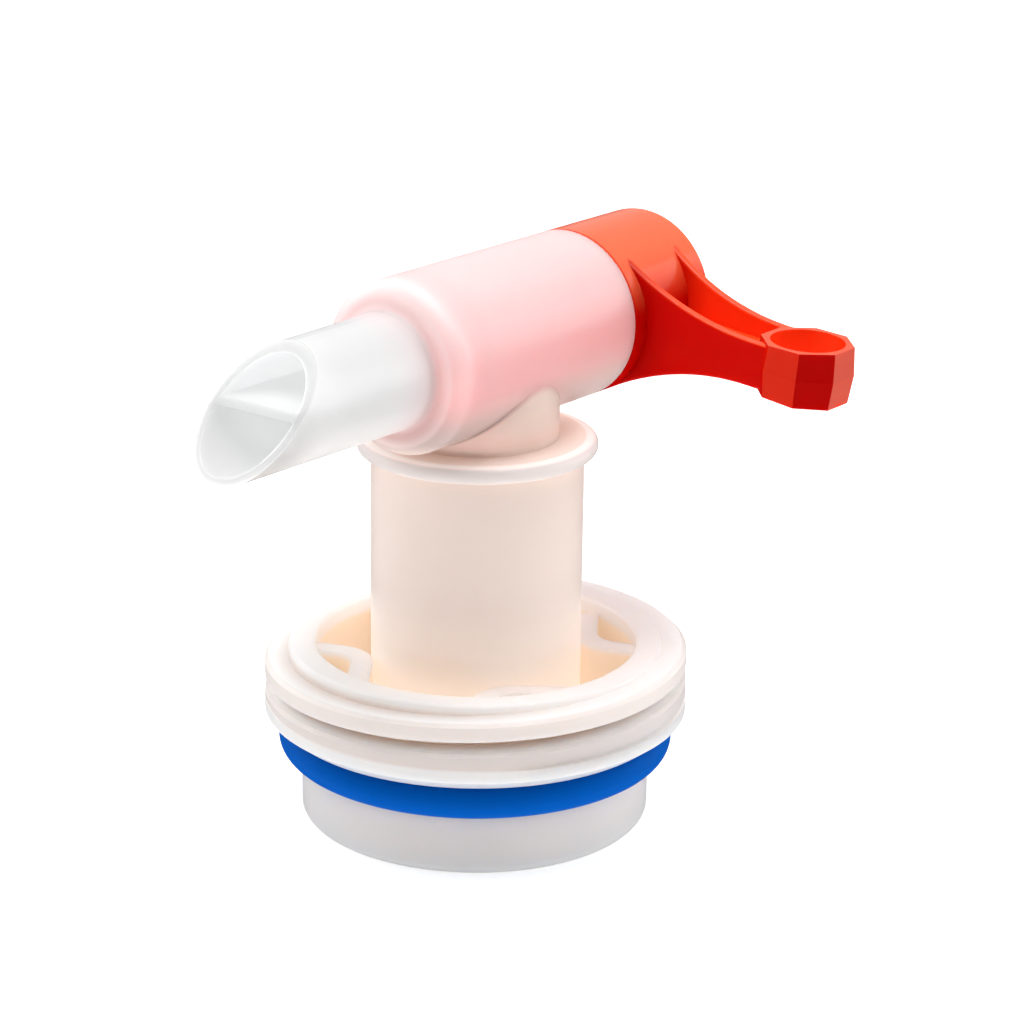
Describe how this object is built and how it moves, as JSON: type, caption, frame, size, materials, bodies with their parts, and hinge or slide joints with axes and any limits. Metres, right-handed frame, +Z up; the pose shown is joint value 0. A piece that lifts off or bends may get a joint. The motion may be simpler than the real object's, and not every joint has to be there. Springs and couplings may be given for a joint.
{
  "type": "drum drain tap",
  "caption": "Lever-operated plastic drum tap with a vented slanted spout, upright neck and two-inch threaded drum plug with a blue O-ring.",
  "frame": {"origin": "centre of the drum plug's bottom face, at the mouth of the inlet", "axes": "+Z up the neck, +X the way the spout points, +Y the way the lever points at rest"},
  "size_m": [0.086, 0.0665, 0.0756],
  "materials": {
    "natural_pe": "satin, translucent natural polyethylene",
    "plug_pe": "satin, slightly translucent",
    "red_plastic": "gloss",
    "blue_rubber": "smooth",
    "washer_rubber": "matte"
  },
  "bodies": {
    "tap": {"drum_plug": "plug_pe", "plug_o_ring": "blue_rubber", "foot_washer": "washer_rubber", "tap_body": "natural_pe"},
    "lever": {"lever_core": "red_plastic"}
  },
  "joints": [
    {"name": "lever_turn", "type": "hinge", "parent": "tap", "child": "lever", "pos_m": [0, 0, 0.06437], "axis": [1, 0, 0], "range_deg": [0, 95.6]}
  ]
}
